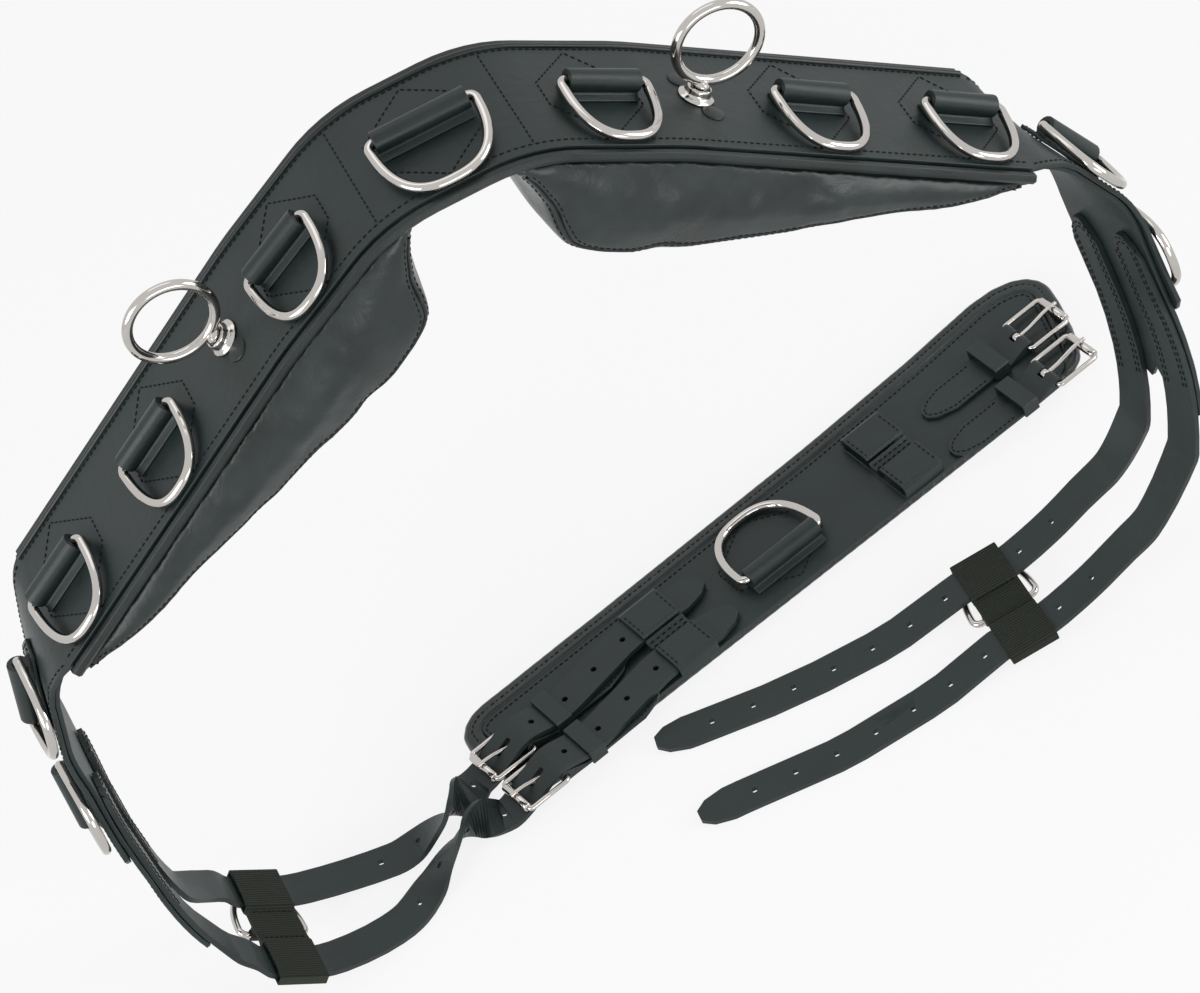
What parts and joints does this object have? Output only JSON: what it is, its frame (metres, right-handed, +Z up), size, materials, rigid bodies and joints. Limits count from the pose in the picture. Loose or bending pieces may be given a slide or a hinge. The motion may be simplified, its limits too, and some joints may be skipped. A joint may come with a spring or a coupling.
{
  "type": "lunging surcingle",
  "caption": "Padded leather body strap with dee rings, standing terrets, pointed billets in webbing keepers, and a buckled padded girth, lying as set down.",
  "frame": {"origin": "middle of the base of the bounding box, on the surface it lies on", "axes": "+X from the wearer's left to right, +Y towards the rear edge of the body strap, +Z up"},
  "size_m": [0.7352, 0.3022, 0.5665],
  "materials": {
    "strap_leather": "dark grey-black strap leather, semi-matt",
    "pad_leather": "soft dark leather over stuffing",
    "felt": "dense dark felt",
    "nickel": "polished nickel plate",
    "steel_plate": "plain spring steel strip",
    "webbing": "ribbed black woven webbing"
  },
  "bodies": {
    "dee_ring_centre_body": {"dee_ring_centre": "nickel"},
    "dee_ring_left_1_body": {"dee_ring_left_1": "nickel"},
    "dee_ring_left_2_body": {"dee_ring_left_2": "nickel"},
    "dee_ring_left_3_body": {"dee_ring_left_3": "nickel"},
    "dee_ring_left_4_body": {"dee_ring_left_4": "nickel"},
    "dee_ring_left_5_body": {"dee_ring_left_5": "nickel"},
    "dee_ring_right_1_body": {"dee_ring_right_1": "nickel"},
    "dee_ring_right_2_body": {"dee_ring_right_2": "nickel"},
    "dee_ring_right_3_body": {"dee_ring_right_3": "nickel"},
    "dee_ring_right_4_body": {"dee_ring_right_4": "nickel"},
    "dee_ring_right_5_body": {"dee_ring_right_5": "nickel"},
    "girth_dee_ring_body": {"girth_dee_ring": "nickel"},
    "terret_ring_left_body": {"terret_ring_left": "nickel"},
    "terret_ring_right_body": {"terret_ring_right": "nickel"},
    "frame_left_rear": {"buckle_frame_left_rear": "nickel"},
    "tongue_left_rear": {"buckle_tongue_left_rear": "nickel"},
    "frame_left_front": {"buckle_frame_left_front": "nickel"},
    "tongue_left_front": {"buckle_tongue_left_front": "nickel"},
    "frame_right_rear": {"buckle_frame_right_rear": "nickel"},
    "tongue_right_rear": {"buckle_tongue_right_rear": "nickel"},
    "frame_right_front": {"buckle_frame_right_front": "nickel"},
    "tongue_right_front": {"buckle_tongue_right_front": "nickel"},
    "keeper_left": {"webbing_keeper_left": "webbing"},
    "ring_left": {"keeper_ring_left": "nickel"},
    "keeper_right": {"webbing_keeper_right": "webbing"},
    "ring_right": {"keeper_ring_right": "nickel"},
    "surcingle": {"billet_left_front": "strap_leather", "billet_left_rear": "strap_leather", "billet_right_front": "strap_leather", "billet_right_rear": "strap_leather", "buckle_chape_left_front": "strap_leather", "buckle_chape_left_rear": "strap_leather", "buckle_chape_right_front": "strap_leather", "buckle_chape_right_rear": "strap_leather", "dee_chape_centre": "strap_leather", "dee_chape_left_1": "strap_leather", "dee_chape_left_2": "strap_leather", "dee_chape_left_3": "strap_leather", "dee_chape_left_4": "strap_leather", "dee_chape_left_5": "strap_leather", "dee_chape_right_1": "strap_leather", "dee_chape_right_2": "strap_leather", "dee_chape_right_3": "strap_leather", "dee_chape_right_4": "strap_leather", "dee_chape_right_5": "strap_leather", "felt_core": "felt", "girth_dee_chape": "strap_leather", "girth_leather": "strap_leather", "girth_lining": "strap_leather", "gullet_plate": "steel_plate", "lining": "strap_leather", "outer_leather": "strap_leather", "pad_left": "pad_leather", "pad_right": "pad_leather", "piping_front": "strap_leather", "piping_rear": "strap_leather", "side_piece_left": "strap_leather", "side_piece_right": "strap_leather", "terret_base_left": "nickel", "terret_base_right": "nickel"}
  },
  "joints": [
    {"name": "dee_ring_centre_swing", "type": "hinge", "parent": "surcingle", "child": "dee_ring_centre_body", "pos_m": [-0.01208, -0.05763, 0.55983], "axis": [-1, 0, 0], "range_deg": [0, 150]},
    {"name": "dee_ring_left_1_swing", "type": "hinge", "parent": "surcingle", "child": "dee_ring_left_1_body", "pos_m": [-0.11463, -0.05763, 0.5246], "axis": [-0.8387, 0, -0.5446], "range_deg": [0, 150]},
    {"name": "dee_ring_left_2_swing", "type": "hinge", "parent": "surcingle", "child": "dee_ring_left_2_body", "pos_m": [-0.22544, -0.05763, 0.44297], "axis": [-0.7934, 0, -0.6088], "range_deg": [0, 150]},
    {"name": "dee_ring_left_3_swing", "type": "hinge", "parent": "surcingle", "child": "dee_ring_left_3_body", "pos_m": [-0.30715, -0.05763, 0.38027], "axis": [-0.7934, 0, -0.6088], "range_deg": [0, 150]},
    {"name": "dee_ring_left_4_swing", "type": "hinge", "parent": "surcingle", "child": "dee_ring_left_4_body", "pos_m": [-0.35586, -0.05689, 0.30384], "axis": [-0.1816, 0, -0.9834], "range_deg": [0, 150]},
    {"name": "dee_ring_left_5_swing", "type": "hinge", "parent": "surcingle", "child": "dee_ring_left_5_body", "pos_m": [-0.36053, -0.06473, 0.21319], "axis": [-0.0171, -0.1899, -0.9817], "range_deg": [0, 150]},
    {"name": "dee_ring_right_1_swing", "type": "hinge", "parent": "surcingle", "child": "dee_ring_right_1_body", "pos_m": [0.09046, -0.05763, 0.5246], "axis": [-0.8387, 0, 0.5446], "range_deg": [0, 150]},
    {"name": "dee_ring_right_2_swing", "type": "hinge", "parent": "surcingle", "child": "dee_ring_right_2_body", "pos_m": [0.20128, -0.05763, 0.44297], "axis": [-0.7934, 0, 0.6088], "range_deg": [0, 150]},
    {"name": "dee_ring_right_3_swing", "type": "hinge", "parent": "surcingle", "child": "dee_ring_right_3_body", "pos_m": [0.28299, -0.05763, 0.38027], "axis": [-0.7934, 0, 0.6088], "range_deg": [0, 150]},
    {"name": "dee_ring_right_4_swing", "type": "hinge", "parent": "surcingle", "child": "dee_ring_right_4_body", "pos_m": [0.33938, -0.05548, 0.31012], "axis": [-0.492, 0, 0.8706], "range_deg": [0, 150]},
    {"name": "dee_ring_right_5_swing", "type": "hinge", "parent": "surcingle", "child": "dee_ring_right_5_body", "pos_m": [0.35792, -0.0684, 0.2218], "axis": [-0.0162, 0.3707, 0.9286], "range_deg": [0, 150]},
    {"name": "girth_dee_ring_swing", "type": "hinge", "parent": "surcingle", "child": "girth_dee_ring_body", "pos_m": [0.10236, 0.01966, 0.01963], "axis": [0.9686, 0.2487, 0], "range_deg": [0, 150]},
    {"name": "terret_ring_left_swivel", "type": "hinge", "parent": "surcingle", "child": "terret_ring_left_body", "pos_m": [-0.16125, -0.05763, 0.48088], "axis": [-0.6088, 0, 0.7934], "continuous": true},
    {"name": "terret_ring_right_swivel", "type": "hinge", "parent": "surcingle", "child": "terret_ring_right_body", "pos_m": [0.13709, -0.05763, 0.48088], "axis": [0.6088, 0, 0.7934], "continuous": true},
    {"name": "buckle_frame_left_rear_hinge", "type": "hinge", "parent": "surcingle", "child": "frame_left_rear", "pos_m": [-0.10116, -0.01401, 0.01523], "axis": [-0.2487, 0.9686, 0], "range_deg": [0, 2]},
    {"name": "buckle_tongue_left_rear_hinge", "type": "hinge", "parent": "frame_left_rear", "child": "tongue_left_rear", "pos_m": [-0.10116, -0.01401, 0.01523], "axis": [-0.2487, 0.9686, 0], "range_deg": [0, 2]},
    {"name": "buckle_frame_left_front_hinge", "type": "hinge", "parent": "surcingle", "child": "frame_left_front", "pos_m": [-0.09221, -0.04888, 0.01523], "axis": [-0.2487, 0.9686, 0], "range_deg": [0, 2]},
    {"name": "buckle_tongue_left_front_hinge", "type": "hinge", "parent": "frame_left_front", "child": "tongue_left_front", "pos_m": [-0.09221, -0.04888, 0.01523], "axis": [-0.2487, 0.9686, 0], "range_deg": [0, 2]},
    {"name": "buckle_frame_right_rear_hinge", "type": "hinge", "parent": "surcingle", "child": "frame_right_rear", "pos_m": [0.31132, 0.09447, 0.01523], "axis": [0.2487, -0.9686, 0], "range_deg": [0, 90]},
    {"name": "buckle_tongue_right_rear_hinge", "type": "hinge", "parent": "frame_right_rear", "child": "tongue_right_rear", "pos_m": [0.31132, 0.09447, 0.01523], "axis": [0.2487, -0.9686, 0], "range_deg": [0, 40]},
    {"name": "buckle_frame_right_front_hinge", "type": "hinge", "parent": "surcingle", "child": "frame_right_front", "pos_m": [0.3123, 0.05446, 0.01523], "axis": [0.2487, -0.9686, 0], "range_deg": [0, 90]},
    {"name": "buckle_tongue_right_front_hinge", "type": "hinge", "parent": "frame_right_front", "child": "tongue_right_front", "pos_m": [0.3123, 0.05446, 0.01523], "axis": [0.2487, -0.9686, 0], "range_deg": [0, 40]},
    {"name": "webbing_keeper_left_slide", "type": "slide", "parent": "surcingle", "child": "keeper_left", "axis": [-0.7986, 0, 0.6018], "range_m": [-0.006, 0.002]},
    {"name": "keeper_ring_left_hinge", "type": "hinge", "parent": "keeper_left", "child": "ring_left", "pos_m": [-0.29711, -0.07563, 0.02848], "axis": [-0.7986, 0, 0.6018], "range_deg": [0, 90]},
    {"name": "webbing_keeper_right_slide", "type": "slide", "parent": "surcingle", "child": "keeper_right", "axis": [-0.9976, 0, -0.0698], "range_m": [-0.004, 0.006]},
    {"name": "keeper_ring_right_hinge", "type": "hinge", "parent": "keeper_right", "child": "ring_right", "pos_m": [0.20489, -0.09913, 0.00625], "axis": [-0.9976, 0, -0.0698], "range_deg": [0, 90]}
  ]
}
